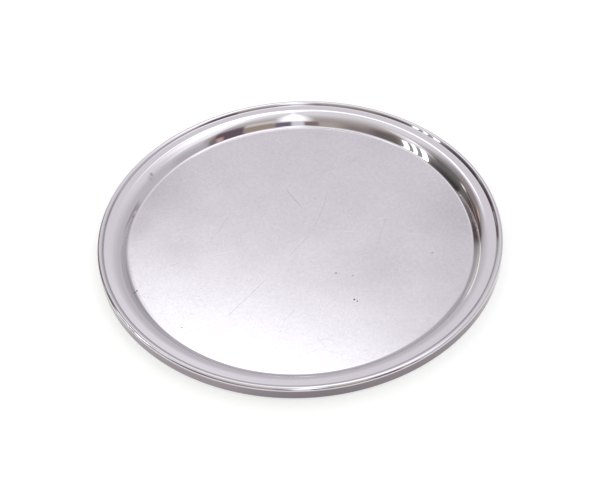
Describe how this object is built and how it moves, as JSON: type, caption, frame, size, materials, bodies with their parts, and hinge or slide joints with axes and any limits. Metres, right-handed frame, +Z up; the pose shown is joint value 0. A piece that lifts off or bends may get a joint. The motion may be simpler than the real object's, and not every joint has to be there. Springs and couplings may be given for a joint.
{
  "type": "waiter tray",
  "caption": "Round stainless-steel waiter tray: flat satin base, sloping polished wall, level flange, raised bead and a turned-down skirt curled around a stiffening wire.",
  "frame": {"origin": "centre of the base's underside, on the surface that the tray stands on", "axes": "+Z up along the tray's axis of revolution; X and Y lie in the base, and the picture is taken from the -Y side"},
  "size_m": [0.355, 0.355, 0.0142],
  "materials": {
    "polished_steel": "satin base with fine wear scratches, mirror-polished wall and rim",
    "drawn_wire": "plain drawn wire"
  },
  "bodies": {
    "root": {"tray_pan": "polished_steel", "rim_wire": "drawn_wire"}
  },
  "joints": []
}
